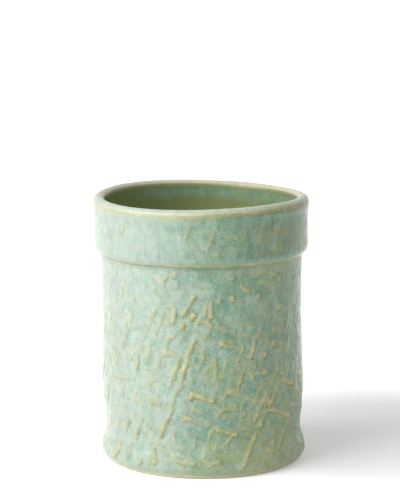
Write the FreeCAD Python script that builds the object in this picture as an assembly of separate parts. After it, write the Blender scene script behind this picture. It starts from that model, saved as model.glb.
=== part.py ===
# Toothbrush holder: a slab-built stoneware cup with a plain band round its mouth.
# Millimetres, +Z up. The origin is on the table, in the middle of the ring that the cup stands on.
# The four clay pieces are modelled as they are put together, before the kiln makes them one:
#   wall_slab    the wall, rolled from one slab, with its belly, waist, flared foot and standing ring
#   floor_disc   the floor, let into a bevelled seat in the foot of the wall
#   corner_coil  the roll of clay pressed into the corner between floor and wall
#   collar_band  the strip lapped round the top of the wall and rolled over it as the lip
import FreeCAD, Part
import math
import os

# Whole cup
CUP_HEIGHT = 100.0  # from the table to the top of the lip
WALL_DIAMETER = 74.8  # outside of the wall where the band is seated, the line that the wall follows
WALL_THICKNESS = 3.8  # from that line to the bore

# Wall, measured from its line: outwards is a flare or swell, inwards a depth
FOOT_FLARE = 0.6  # widest part of the foot
FOOT_HEIGHT = 4.3
WAIST_DEPTH = 1.1  # crease above the foot
WAIST_HEIGHT = 13.5
BELLY_SWELL = 0.1  # fullest part of the lower wall
HOLLOW_DEPTH = 0.5  # slight narrowing of the upper wall
RING_INSET = 2.4  # outer edge of the standing ring
RING_WIDTH = 2.7
RING_CHAMFER = 0.3  # inner edge of the standing ring
TONGUE_THICKNESS = 1.9  # top edge of the wall, thinned to pass under the lip
FLARE_LEAD = 6.0  # how far below the band the bore begins to open towards the lip

# Heights of belly and hollow, in the stretch from the waist up to the band
belly_share = 0.29
hollow_share = 0.70

# Floor and its coil
FLOOR_THICKNESS = 5.0
FLOOR_LIFT = 1.2  # underside of the floor above the table
COIL_LEG = 4.0  # reach of the coil along the floor and up the wall
COIL_FEATHER = 0.5  # thickness left at the two edges of the coil

# Band and lip
BAND_HEIGHT = 22.0  # from the top of the lip to the band's lower edge
BAND_THICKNESS = 2.15  # from the seat to the band's face
BAND_UNDERCUT = 0.4  # narrow flat under the band's lower edge
LIP_ROLL = 0.45  # how far the lip stands out from the band's face
LIP_NECK = 2.75  # from the top edge of the wall to the start of the lip's round

# Stretches of the band below the lip's round, as shares of its height there
lip_fairing_share = 0.29
band_edge_share = 0.17

# Where the two arcs of a double curve meet, on the straight line between its ends
even_meet_share = 0.5
waist_meet_share = 0.12

# Radii and heights that more than one piece shares
wall_radius = WALL_DIAMETER / 2
bore_radius = wall_radius - WALL_THICKNESS
ring_outer_radius = wall_radius - RING_INSET
ring_inner_radius = ring_outer_radius - RING_WIDTH
floor_low_radius = ring_inner_radius - RING_CHAMFER
floor_top = FLOOR_LIFT + FLOOR_THICKNESS
tongue_radius = wall_radius - TONGUE_THICKNESS
band_radius = wall_radius + BAND_THICKNESS
lip_radius = band_radius + LIP_ROLL
lip_round = (lip_radius - tongue_radius) / 2
lip_height = CUP_HEIGHT - lip_round
tongue_top = lip_height - LIP_NECK
band_low = CUP_HEIGHT - BAND_HEIGHT


def at(radius, height):
    """A point of a section, in the plane of X and Z."""
    return FreeCAD.Vector(radius, 0, height)


def line(start, end):
    return Part.LineSegment(at(*start), at(*end)).toShape()


def arc(start, middle, end):
    return Part.Arc(at(*start), at(*middle), at(*end)).toShape()


def upright_arc(start, end):
    """An arc that is upright where it starts."""
    across = end[0] - start[0]
    up = end[1] - start[1]
    bow = math.tan(math.atan(across / up) / 2)
    return arc(start, (start[0] + (across - bow * up) / 2, start[1] + (up + bow * across) / 2), end)


def double_curve(start, end, meet_share=even_meet_share):
    """Two arcs from one radius to another, upright at both ends, or a line if the radii are alike."""
    across = end[0] - start[0]
    up = end[1] - start[1]
    if across == 0:
        return [line(start, end)]
    meet = (start[0] + across * meet_share, start[1] + up * meet_share)
    return [upright_arc(start, meet), upright_arc(end, meet)]


def turned(edges):
    """A solid of revolution about Z from the edges of its section, in order round it."""
    face = Part.Face(Part.Wire(edges))
    return face.revolve(at(0, 0), FreeCAD.Vector(0, 0, 1))


def make_wall_slab():
    waist_to_band = band_low - WAIST_HEIGHT
    ring_inner = (ring_inner_radius, 0)
    ring_outer = (ring_outer_radius, 0)
    foot = (wall_radius + FOOT_FLARE, FOOT_HEIGHT)
    waist = (wall_radius - WAIST_DEPTH, WAIST_HEIGHT)
    belly = (wall_radius + BELLY_SWELL, WAIST_HEIGHT + waist_to_band * belly_share)
    hollow = (wall_radius - HOLLOW_DEPTH, WAIST_HEIGHT + waist_to_band * hollow_share)
    seat_low = (wall_radius, band_low)
    seat_top = (wall_radius, tongue_top)
    tongue_inner = (tongue_radius, tongue_top)
    flare_start = (bore_radius, band_low - FLARE_LEAD)
    floor_edge = (bore_radius, floor_top)
    floor_seat = (floor_low_radius, FLOOR_LIFT)
    chamfer_top = (floor_low_radius, RING_CHAMFER)
    return turned([
        line(ring_inner, ring_outer),
        upright_arc(foot, ring_outer),
        *double_curve(foot, waist),
        *double_curve(waist, belly, waist_meet_share),
        *double_curve(belly, hollow),
        *double_curve(hollow, seat_low),
        line(seat_low, seat_top),
        line(seat_top, tongue_inner),
        *double_curve(tongue_inner, flare_start),
        line(flare_start, floor_edge),
        line(floor_edge, floor_seat),
        line(floor_seat, chamfer_top),
        line(chamfer_top, ring_inner),
    ])


def make_floor_disc():
    return Part.makeCone(floor_low_radius, bore_radius, FLOOR_THICKNESS, at(0, FLOOR_LIFT))


def make_corner_coil():
    # The hollow face is a quarter circle about a centre one leg from the floor and from the wall.
    centre_radius = bore_radius - COIL_LEG
    centre_height = floor_top + COIL_LEG
    hollow = COIL_LEG - COIL_FEATHER
    diagonal = hollow / math.sqrt(2)
    corner = (bore_radius, floor_top)
    floor_edge = (centre_radius, floor_top)
    floor_feather = (centre_radius, centre_height - hollow)
    hollow_middle = (centre_radius + diagonal, centre_height - diagonal)
    wall_feather = (centre_radius + hollow, centre_height)
    wall_edge = (bore_radius, centre_height)
    return turned([
        line(corner, floor_edge),
        line(floor_edge, floor_feather),
        arc(floor_feather, hollow_middle, wall_feather),
        line(wall_feather, wall_edge),
        line(wall_edge, corner),
    ])


def make_collar_band():
    below_round = lip_height - band_low
    seat_top = (wall_radius, tongue_top)
    tongue_inner = (tongue_radius, tongue_top)
    lip_inner = (tongue_radius, lip_height)
    lip_crown = (tongue_radius + lip_round, CUP_HEIGHT)
    lip_outer = (lip_radius, lip_height)
    face_top = (band_radius, lip_height - below_round * lip_fairing_share)
    face_low = (band_radius, band_low + below_round * band_edge_share)
    edge_low = (wall_radius + BAND_UNDERCUT, band_low)
    seat_low = (wall_radius, band_low)
    return turned([
        line(tongue_inner, lip_inner),
        arc(lip_inner, lip_crown, lip_outer),
        *double_curve(lip_outer, face_top),
        line(face_top, face_low),
        upright_arc(face_low, edge_low),
        line(edge_low, seat_low),
        line(seat_low, seat_top),
        line(seat_top, tongue_inner),
    ])


PIECES = {
    "wall_slab": make_wall_slab,
    "floor_disc": make_floor_disc,
    "corner_coil": make_corner_coil,
    "collar_band": make_collar_band,
}

os.makedirs("parts", exist_ok=True)
for node, make in PIECES.items():
    piece = make()
    piece.exportStep(os.path.join("parts", node + ".step"))
    box = piece.optimalBoundingBox()
    print(f"{node}: {piece.Volume:.0f} mm3, valid {piece.isValid()}, z {box.ZMin:.2f} to {box.ZMax:.2f}")
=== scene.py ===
# The looks of a slab-built stoneware toothbrush holder: hand-built clay under a mint glaze.
# Metres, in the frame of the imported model: +Z is up, and the side that the camera sees is -Y.
import math
import random
from collections import namedtuple
from functools import partialmethod, reduce

import bmesh
import bpy
import numpy as np
from bpy.props import FloatProperty, FloatVectorProperty, IntProperty, PointerProperty
from mathutils import Color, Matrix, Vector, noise


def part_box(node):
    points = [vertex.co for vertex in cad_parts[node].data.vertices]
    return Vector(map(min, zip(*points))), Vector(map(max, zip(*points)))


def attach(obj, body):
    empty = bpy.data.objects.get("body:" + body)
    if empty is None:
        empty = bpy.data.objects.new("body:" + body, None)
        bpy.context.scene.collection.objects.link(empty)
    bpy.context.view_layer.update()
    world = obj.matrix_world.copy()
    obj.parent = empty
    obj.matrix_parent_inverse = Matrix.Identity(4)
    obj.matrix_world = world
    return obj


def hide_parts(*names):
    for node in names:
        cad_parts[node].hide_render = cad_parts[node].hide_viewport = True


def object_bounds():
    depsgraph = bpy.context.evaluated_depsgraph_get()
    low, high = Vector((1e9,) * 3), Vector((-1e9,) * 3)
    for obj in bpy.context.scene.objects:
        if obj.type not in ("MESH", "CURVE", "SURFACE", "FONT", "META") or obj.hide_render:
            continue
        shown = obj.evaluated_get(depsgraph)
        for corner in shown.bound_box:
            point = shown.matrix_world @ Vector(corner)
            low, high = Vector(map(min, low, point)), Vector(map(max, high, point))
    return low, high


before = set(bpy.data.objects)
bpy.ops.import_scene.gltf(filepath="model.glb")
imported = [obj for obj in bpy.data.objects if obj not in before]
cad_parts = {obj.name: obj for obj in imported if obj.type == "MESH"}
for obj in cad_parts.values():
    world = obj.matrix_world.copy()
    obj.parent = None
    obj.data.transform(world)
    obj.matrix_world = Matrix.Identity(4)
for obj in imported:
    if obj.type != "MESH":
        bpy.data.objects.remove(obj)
CAD_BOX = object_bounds()

bl_info = {
    "name": "Stoneware toothbrush holder",
    "version": (1, 0, 0),
    "blender": (4, 5, 0),
    "location": "3D View > Sidebar > Cup",
    "description": "Shapes and glazes the clay pieces of a hand-built cup, and sets its stage",
    "category": "Object",
}

MM = 0.001
BODY = "root"

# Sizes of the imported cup
CUP_HEIGHT = CAD_BOX[1].z
LIP_RADIUS = CAD_BOX[1].x
LIP_ROLL = 0.45 * MM
BAND_FACE_RADIUS = LIP_RADIUS - LIP_ROLL
WALL_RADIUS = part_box("wall_slab")[1].x
WALL_GIRTH = 2 * math.pi * WALL_RADIUS
BAND_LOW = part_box("collar_band")[0].z
FLOOR_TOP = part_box("floor_disc")[1].z

# The picture that the places below were read from, in pixels. The lit side of a ridge is what shows best,
# and it lies this far to the left of the ridge's middle and above it.
PICTURE_WIDTH = 400
PICTURE_HEIGHT = 500
LIT_SIDE_PX = 0.5

# Threads of the cloth as they show on the front of the wall: each ridge as x, y, x, y and so on, in pixels
BOLD_THREADS_PX = (
    (193.5, 297, 188, 305, 183, 314), (205.5, 304.5, 205, 315), (210, 304, 210.5, 316),
    (166, 306, 171, 305.5, 174, 309, 174, 316, 172.5, 322), (194, 341, 191, 348, 187.5, 355),
    (187, 360, 183, 372, 180.5, 380), (254.5, 341, 250, 357), (177, 365, 174, 372, 172.5, 378),
    (137.5, 356, 136.5, 367), (149.5, 398, 154, 401.5, 159, 404),
    (281, 372, 282.5, 378, 288, 382.5, 291, 382.5),
    (181, 386, 177, 389, 173.5, 395, 172, 402, 170.5, 412), (169, 414, 164.5, 423, 160.5, 435),
    (190, 398, 192, 393, 197, 395.5, 205, 398, 213, 400.5),
    (263, 412, 266.5, 408.5, 273, 409, 282, 412, 289, 416),
    (181, 416, 186, 417.5, 193, 420.5, 200, 423, 208, 425.5), (141, 419, 138, 427, 135.5, 436),
    (286.5, 419, 282.5, 432, 278, 447), (217, 429, 226, 432, 234.5, 434.5),
    (255, 433, 249.5, 447, 245.5, 459, 241, 469), (120, 443, 117.5, 449, 114.5, 456),
    (132, 443, 130, 449, 127, 457), (153, 448, 155, 461), (172.5, 455.5, 177, 460, 184, 463.5, 192, 464),
)
PLAIN_THREADS_PX = (
    (164, 277, 163, 284), (246, 279, 253, 275.5, 260, 272.5, 266, 271, 273, 273, 278, 277),
    (241, 286.5, 244, 289, 248, 290.5), (198, 321.5, 207, 321.5, 210, 325, 209, 330),
    (217, 326.5, 224, 329.5, 234, 332.5), (173, 336, 168, 338, 166, 344, 166, 352),
    (141, 346, 146, 342.5, 150, 344, 148, 352, 146, 361), (128, 327, 123, 340, 118.5, 352, 115.5, 364),
    (153.5, 311, 149, 321, 145.5, 331, 143, 338), (220, 342, 226, 345, 234, 346.5, 241, 349.5),
    (280, 346, 284, 350, 288, 352), (203, 351, 202.5, 358), (162, 354, 170, 353.5, 177, 356),
    (123, 353, 127, 355, 130, 358), (276, 358, 277, 368), (158, 359, 158, 368), (190, 362, 198, 366),
    (245, 362.5, 251, 364, 256, 367.5), (244.5, 366, 242, 373, 240, 381),
    (275, 370, 271.5, 380, 267.5, 389, 263, 399, 258.5, 409, 254, 420),
    (276, 387, 272.5, 396, 268, 406, 263, 416, 259, 424),
    (217.5, 416, 220, 411.5, 224, 408.5, 230, 408, 236.5, 409), (173, 433, 174.5, 443),
    (153, 447, 149, 462), (240.5, 378, 239, 384), (243, 395, 249, 397.5, 256, 401.5),
    (128, 420, 124.5, 431), (238, 422.5, 241, 426, 245, 428), (257, 432, 262, 436, 267, 438),
    (161.5, 448.5, 167, 454.5), (268, 449, 275, 452, 283, 455, 292, 458.5),
    (208, 466, 213, 463.5, 219, 462),
)
FAINT_THREADS_PX = (
    (177, 273, 177, 287, 170, 286.5),
    (224, 406, 224, 397, 226, 392.5, 231, 390, 238, 390, 238, 373, 238, 360),
    (149, 383, 153, 379.5, 158, 379, 161, 383), (132, 314, 128.5, 325), (131, 292, 134, 297),
    (257, 296, 261, 298), (275, 311, 273.5, 322, 273.5, 332), (265, 315, 261, 326, 257.5, 337),
    (113, 313, 114, 321), (274, 424, 272, 434), (286.5, 315, 285, 335), (297, 352, 295, 376, 293, 394),
    (263, 332, 268, 341, 272, 344), (187.5, 355, 187, 360), (202.5, 358, 200, 368, 191, 379),
    (215, 361, 216, 379), (206, 372, 207, 378), (250, 372, 252, 378), (112, 374, 127, 377),
    (172.5, 378, 169, 386), (282, 391, 286.5, 393, 287, 401), (293, 394, 292, 411),
    (123, 392, 121, 402, 119.5, 412), (130, 409, 135, 413), (262, 417, 260.5, 428), (119, 418, 117, 428),
    (245, 428, 250, 430), (290, 443, 296, 446), (207, 448, 203.5, 456), (263, 462, 264, 470),
    (162.5, 312, 160, 322, 156, 332, 153.5, 339), (210, 432, 208, 444), (194.5, 434, 194, 446),
    (207, 450.5, 215, 454, 223, 456, 231, 459.5, 238, 460),
)
# Knots of the cloth, single bumps, in pixels
KNOTS_PX = (
    (164, 278), (175, 274.5), (192.5, 316.5), (182, 326.5), (218.5, 301.5), (232, 298), (232, 278),
    (278.5, 277.5), (278, 307.5), (258, 295.5), (204.5, 336.5), (233.5, 332.5), (222, 343),
    (241.5, 349.5), (273, 342.5), (264, 353.5), (237, 359.5), (178, 358), (198, 366), (231.5, 370),
    (263.5, 372), (254, 366.5), (243.5, 413.5), (184, 417), (150.5, 423.5), (226.5, 442), (138.5, 461.5),
)
# Scratches of the band, each as x, y, x, y and so on, in pixels
BAND_STREAKS_PX = (
    (126, 213.5, 123.5, 221, 120.5, 229), (105.5, 221, 108, 227, 110, 233),
    (190.5, 222, 187, 231, 184.5, 239), (216.5, 221, 213, 231, 210, 240, 206, 250),
    (224, 236, 230, 236.5, 236, 238), (278.7, 224, 276.5, 239), (216.5, 253, 217.5, 256),
    (256, 237, 260.5, 237), (245.5, 229, 244.5, 234), (279.5, 247, 280, 251),
)

# Soft patches of glaze on the front, olive where it is thin, teal where it gathers and pale where it is
# milky: the middle of each in pixels, and its radius in millimetres
OLIVE_PATCHES_PX = (
    (214, 373, 3.5), (279, 390, 3.5), (233, 455, 3), (265, 455, 5), (262, 425, 3), (205, 466, 3),
    (221, 456, 3), (284, 440, 4), (280, 425, 3.5), (254, 462, 3), (246, 448, 3), (270, 470, 3),
)
TEAL_PATCHES_PX = (
    (202, 411, 3.5), (231, 421, 3), (252, 384, 3.5), (262, 376, 2.5), (179, 425, 3), (226, 447, 3),
    (131, 451, 3.5), (144, 453, 3), (164, 452, 3), (224, 398, 3), (246, 279, 4), (229, 289, 3.5),
    (212, 421, 2.5), (228, 333, 5), (240, 345, 4), (187, 387, 2.5), (188, 448, 2.5), (284, 298, 3.5),
    (222, 322, 3), (286, 360, 3), (199, 357, 2), (186, 304, 2), (252, 336, 4), (257, 371, 4),
    (248, 388, 3), (222, 461, 3), (249, 438, 3), (237, 441, 2.5),
)
PALE_PATCHES_PX = (
    (203, 307, 3), (191, 335, 3), (182, 363, 2), (208, 370, 2.5), (168, 396, 2.5), (184, 410, 2.5),
    (260, 380, 3), (245, 386, 2.5), (252, 330, 4), (166, 331, 2), (212, 345, 2.5), (186, 428, 2.5),
    (236, 452, 2.5), (250, 300, 3), (211, 466, 3), (200, 292, 4.5), (202, 325, 5), (254, 376, 6),
    (252, 346, 5), (227, 452, 4), (178, 368, 4), (172, 388, 4), (240, 462, 4), (252, 408, 4),
)
BAND_TEAL_PATCHES_PX = (
    (173, 225, 2.5), (184, 226, 2.5), (266, 229, 3), (267, 251, 3), (240, 254, 2.5), (213, 242, 2.5),
    (158, 254, 3), (222, 224, 2), (290, 240, 3), (119, 215, 1.8), (147, 255, 2.5), (135, 256, 2),
    (253, 229, 2.5),
)
BAND_PALE_PATCHES_PX = (
    (202, 231, 3), (203, 252, 3), (258, 243, 2.5), (230, 230, 2), (250, 226, 2), (180, 240, 2.5),
)

# Stretches round the cup, in degrees to the right of the front: where each begins, is full, fades and ends
# Where a painted sheen of reflected light lies, on the lit left side
PAINTED_SHEEN_SIDE = (-150, -105, -30, 8)
INNER_LEFT = (-155, -125, -60, -30)
# The left limb of the wall, which gets painted shade
SHADED_LEFT_LIMB = (-150, -100, -65, -38)
WALL_RIGHT = (-5, 35, 110, 165)
BAND_LEFT = (-150, -100, -45, -8)
BAND_FRONT = (-25, 5, 110, 165)
BAND_TEAL = (3, 10, 120, 165)
BAND_RIGHT = (5, 50, 120, 165)
# The right limb, where wall and band get painted shade as olive, teal and dark glaze
SHADED_RIGHT_LIMB = (48, 72, 110, 165)
# The same for belts, in millimetres below the top of the lip
INNER_RING = (2.2, 3.4, 4.8, 7.5)
INNER_OLIVE = (1, 3, 12, 25)
LIP_TAN = (1.3, 1.9, 2.6, 3.5)
LIP_OLIVE = (1.8, 2.4, 3.3, 4.8)
UNDER_LIP = (3.6, 4.4, 5.5, 9)
# The same for belts, in millimetres above the lower edge of the band
EDGE_LINE = (-0.5, 0.1, 0.9, 2)
EDGE_CREASE = (-0.9, -0.2, 0, 3)
# Where the wall just under the band gets painted light on the right
LIT_UNDER_BAND = (-4, -1.5, 0, 3)
# The same for the heights where ridges stand out of the wall, and where they mark the glaze
RIDGE_HEIGHTS = (0.3 * MM, 3 * MM, BAND_LOW - 3 * MM, BAND_LOW)
MARK_HEIGHTS = (0.3 * MM, 3 * MM, BAND_LOW - 1.2 * MM, BAND_LOW - 0.2 * MM)

# Shares of the boldest ridge's height, for the other kinds, and the range of a thread's own share of that
PLAIN_SHARE = 0.64
FAINT_SHARE = 0.42
SIDE_SHARE = 0.75
WEAVE_SHARE = 0.45
KNOT_SHARE = 0.75
STREAK_SHARE = 0.2
SHARE_RANGE = (0.75, 1.05)
# How strongly the weave, the scratches and the knots mark the glaze
WEAVE_TONE = 0.8
STREAK_TONE = 0.34
FRONT_KNOT_TONES = (0.6, 1.0)
SIDE_KNOT_TONES = (0.5, 0.9)
# Width of the faintest thread in widths of the boldest, and of a knot and a scratch in widths of a thread
FAINTEST_WIDTH_SHARE = 0.65
KNOT_WIDTH_SHARE = 1.2
STREAK_WIDTH_SHARE = 1.15
# In half widths of a thread: how far it marks the glaze, where its ridge falls off and by which power, and
# where its side away from the light, which gets painted shade, begins and is full
THREAD_REACH = 3.0
RIDGE_SHOULDER = 0.9
RIDGE_FALL = 2.6
LEE_RANGE = (-0.4, 1.2)
# The side of a ridge that lies away from the light, as a direction round the wall and up it
LEE = np.array((0.75, -0.66))
# Tilts and longest runs of the two sets of threads
STEEP_TILT = math.radians(67)
FLAT_TILT = math.radians(-14)
STEEP_RUN = 14 * MM
FLAT_RUN = 11 * MM
# Gaps and lengths of the runs in longest runs, and the range of the spacing
GAP_RANGE = (0.2, 1.0)
RUN_RANGE = (0.25, 1.0)
SPACING_RANGE = (0.7, 1.4)
WEAVE_SPACING_SHARE = 0.7
# Share of the runs that is kept low on the wall, how much less is kept at the band, and the heights between
LOW_CROWD = 0.95
CROWD_LOSS = 0.5
CROWD_HEIGHTS = (0.45 * BAND_LOW, 0.95 * BAND_LOW)
# What the runs leave free at the foot and at the band, and the heights where knots lie
WALL_MARGIN = 3 * MM
KNOT_HEIGHTS = (6 * MM, BAND_LOW - 4 * MM)
# How far a thread wanders from its path
THREAD_FRAY = 0.22 * MM
# The ridges are shallower towards the sides, between these angles from the front
SHALLOW_SIDES = np.radians((55, 80))
# The stretch of the wall that the front threads leave free, as distances round from the front line
SIDE_START = 44 * MM
SIDE_END = WALL_GIRTH - 43 * MM
SIDE_KNOTS = 24

# Shares of the cup's height: where the lean leaves it in place, and where the wave of the rim begins
LEAN_PIVOT = 0.52
WAVE_START = 0.55
# How far apart the octaves of a cloud are taken from, so that they don't repeat each other
OCTAVE_SHIFT = 17.3
# A pixel's place on the clay settles in this many rounds
PLACING_ROUNDS = 4
# A packed vertex this close to the plane of X and Z lies on the seam of its turned faces
SEAM_REACH = 1e-7
# Keeps a way of no length from being divided by 0
TINY = 1e-12
# Points this close together count as touching
TOUCH = 0.01 * MM
# A section that turns further than this has a sharp edge there
CORNER_COSINE = math.cos(math.radians(40))
# Points round each piece, and steps along its section
FINE_SEGMENTS = 480
FLOOR_SEGMENTS = 180
COIL_SEGMENTS = 240
WALL_STEP = 0.55 * MM
BAND_STEP = 0.4 * MM
FLOOR_STEP = 2 * MM
COIL_STEP = 0.6 * MM
# Steps where little shows: on the bore below the lip, lower in the bore, and between band and wall
BORE_TOP_STEP = 1.5 * MM
BORE_STEP = 5 * MM
SEAT_STEP = 4 * MM
# Half the length of the floor, and how far from its least lifted place the lift begins to grow and is full
FLOOR_REACH = 6.0
SHADE_REACH = (0.05, 0.145)
SENSOR_MM = 36.0
GLAZE_IOR = 1.4
BARE_ROUGHNESS = 0.85
BUMP_DEPTH = 0.4 * MM
BUMP_STRENGTH = 0.8
GLAZE_COLOURS = (
    "mint", "pale", "painted_sheen", "deep", "teal", "tan", "olive", "inside", "cream", "shade", "bloom_and_shade", "clay")
# Sockets of a node that mixes colours
MIX_SHARE, MIX_FIRST, MIX_SECOND, MIX_RESULT = 0, 6, 7, 2

# What the glaze does at a point: how near a thread it is, how strong that thread is and how far the point
# is on the thread's side away from the light, then how far the glaze is thin, gathered, olive, calm, creased
# or in painted shade, creamy, painted with a sheen, coloured as inside, pale, greyed or in painted shade,
# and left off. Painted light and shade also go into some of the thin, gathered, olive, pale and creamy glaze
MARKS = (
    "thread", "tone", "shaded_side", "ridge", "pool", "olive", "calm", "crease_and_shade", "cream", "painted_sheen", "inside", "pale",
    "bloom_and_shade", "bare")

Thread = namedtuple("Thread", "path rise half_width tone")


def a_length(name, description, default):
    return FloatProperty(name=name, description=description, default=default, unit="LENGTH", precision=5)


def an_angle(name, description, degrees):
    return FloatProperty(
        name=name, description=description, default=math.radians(degrees), unit="ROTATION")


def a_colour(name, description, default):
    return FloatVectorProperty(
        name=name, description=description, default=default, size=3, min=0, max=1, subtype="COLOR_GAMMA")


class ClaySettings(bpy.types.PropertyGroup):
    """How far the clay departs from the true turned shape."""

    lean: a_length("Lean", "How far the rim stands to the side of the foot", -0.95 * MM)
    oval: FloatProperty(
        name="Oval", description="How much wider the cup is from side to side than from front to back",
        default=0.007, min=0, subtype="FACTOR")
    rim_wave: a_length("Rim wave", "Rise and fall of the lip round the cup", 0.5 * MM)
    edge_lift: a_length(
        "Band edge lift", "How far the clay of the band's lower edge was pushed up", 0.65 * MM)
    edge_tilt: a_length(
        "Band edge tilt", "How much higher the band's lower edge is on the left", 0.3 * MM)
    lump: a_length("Lumps", "Height of the broad unevenness of the wall", 0.22 * MM)
    thread_rise: a_length("Thread height", "Height of the boldest ridges that the cloth left", 0.5 * MM)
    thread_half_width: a_length("Thread half width", "Half the width of the boldest ridges", 0.84 * MM)
    thread_spacing: a_length(
        "Thread spacing", "Distance between neighbouring threads of the cloth", 5.5 * MM)
    seed: IntProperty(name="Seed", description="Choice of the threads on the sides and back", default=7)


class GlazeSettings(bpy.types.PropertyGroup):
    """Colours of the glaze and the clay in plain light, with the painted sheen and shade among them."""

    mint: a_colour("Mint", "Main colour of the glaze", (0.565, 0.70, 0.605))
    pale: a_colour("Pale mint", "Milky specks in the glaze", (0.74, 0.815, 0.75))
    # Painted sheen: a pale veil of reflected light on the lit left side and on the lip's crown
    painted_sheen: a_colour("Painted sheen", "Veil where the glaze is thick and milky", (0.88, 0.885, 0.87))
    deep: a_colour("Deep mint", "Darker specks in the glaze", (0.415, 0.535, 0.42))
    teal: a_colour("Teal", "Glaze that has gathered in hollows", (0.36, 0.585, 0.515))
    tan: a_colour("Tan", "Thin glaze on ridges and edges", (0.825, 0.785, 0.58))
    olive: a_colour("Olive", "Thin glaze at the foot, under the lip and in patches", (0.60, 0.64, 0.37))
    inside: a_colour("Inside", "Glaze inside the cup", (0.50, 0.535, 0.32))
    # Cream is thin glaze; at the foot it is partly painted light too
    cream: a_colour("Cream", "Thinnest glaze, on the lip and the edge of the foot", (0.83, 0.80, 0.68))
    # Painted shade: laid in the crease under the band, under the lip, on both limbs and beside ridges
    shade: a_colour("Shade", "Dark glaze in the lee of ridges and under the lip", (0.36, 0.42, 0.28))
    # Grey bloom in spots, and the same grey laid as painted shade on the left limb
    bloom_and_shade: a_colour("Bloom", "Grey bloom in spots of the glaze", (0.66, 0.67, 0.67))
    clay: a_colour("Bare clay", "Stoneware that the glaze leaves bare", (0.66, 0.53, 0.40))
    satin: FloatProperty(
        name="Satin", description="Roughness of the glaze", default=0.3, min=0, max=1, subtype="FACTOR")


class StageSettings(bpy.types.PropertyGroup):
    """Camera, floor and light."""

    camera_aside: a_length(
        "Camera aside", "Place of the camera to the right of the cup's axis", -0.76 * MM)
    camera_distance: a_length("Camera distance", "Place of the camera in front of the cup's axis", 0.917)
    camera_height: a_length("Camera height", "Place of the camera above the floor", 0.2384)
    camera_dip: an_angle("Camera dip", "How far the camera looks down", 9.87)
    lens: FloatProperty(name="Lens", description="Focal length of the camera", default=179.2, unit="CAMERA")
    panel_turn: an_angle("Panel turn", "How far to the left of the camera the soft panel stands", 58)
    panel_rise: an_angle("Panel rise", "How steeply the soft panel shines down", 35)
    panel_distance: a_length("Panel distance", "Distance from the cup to the soft panel", 0.9)
    panel_width: a_length("Panel width", "Width of the soft panel", 0.9)
    panel_height: a_length("Panel height", "Height of the soft panel", 0.7)
    panel_power: FloatProperty(
        name="Panel power", description="Power of the soft panel", default=8.65, unit="POWER")
    fill: FloatProperty(name="Fill", description="Strength of the light from all round", default=0.40, min=0)
    near_glow: FloatProperty(
        name="Floor glow", description="How much the white floor near the cup is lifted in the picture",
        default=0.25, min=0)
    shade_aside: a_length(
        "Shade aside", "Place of the least lifted floor, to the right of the cup's axis", 0.07)
    shade_behind: a_length("Shade behind", "Place of the least lifted floor, behind the cup's axis", 0.03)


def seam_loop(node):
    """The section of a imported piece: (radius, height) points in order along its turned faces' seam."""
    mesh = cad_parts[node].data
    on_seam = {
        vertex.index: (round(vertex.co.x, 6), round(vertex.co.z, 6))
        for vertex in mesh.vertices
        if abs(vertex.co.y) < SEAM_REACH and vertex.co.x > 0
    }
    neighbours = {}
    for edge in mesh.edges:
        first, second = (on_seam.get(index) for index in edge.vertices)
        if first and second and first != second:
            neighbours.setdefault(first, set()).add(second)
            neighbours.setdefault(second, set()).add(first)
    if not neighbours:
        raise RuntimeError(f"{node} has no seam to read its section from")
    ends = sorted(point for point, near in neighbours.items() if len(near) == 1)
    loop = [ends[0] if ends else min(neighbours)]
    while True:
        onward = sorted(neighbours[loop[-1]] - set(loop[-2:]))
        if not onward or onward[0] == loop[0]:
            break
        loop.append(onward[0])
    if len(loop) != len(neighbours):
        raise RuntimeError(f"{node}'s section isn't one line")
    return np.array(loop)


def anticlockwise(loop):
    """The loop in the order that makes its turned faces look outwards."""
    onward = np.roll(loop, -1, axis=0)
    area = np.sum(loop[:, 0] * onward[:, 1] - onward[:, 0] * loop[:, 1])
    return loop if area > 0 else loop[::-1]


def respaced(loop, step_at, closed=True):
    """The section with points closer together, as step_at says for the middle of each stretch."""
    ends = np.roll(loop, -1, axis=0) if closed else loop[1:]
    points = []
    for start, end in zip(loop, ends):
        steps = math.ceil(np.linalg.norm(end - start) / step_at(*((start + end) / 2)))
        points.extend(start + (end - start) * step / steps for step in range(steps))
    if not closed:
        points.append(loop[-1])
    return np.array(points)


def softened(section, shown, passes):
    """The section with its shown stretch smoothed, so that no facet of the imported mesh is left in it."""
    loose = np.array([shown(*point) for point in section])
    for _ in range(passes):
        middle = (np.roll(section, 1, axis=0) + 2 * section + np.roll(section, -1, axis=0)) / 4
        section = np.where(loose[:, None], middle, section)
    return section


def unit(ways):
    """The ways with a length of 1, or of 0 where they have none."""
    return ways / (np.linalg.norm(ways, axis=1)[:, None] + TINY)


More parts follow.
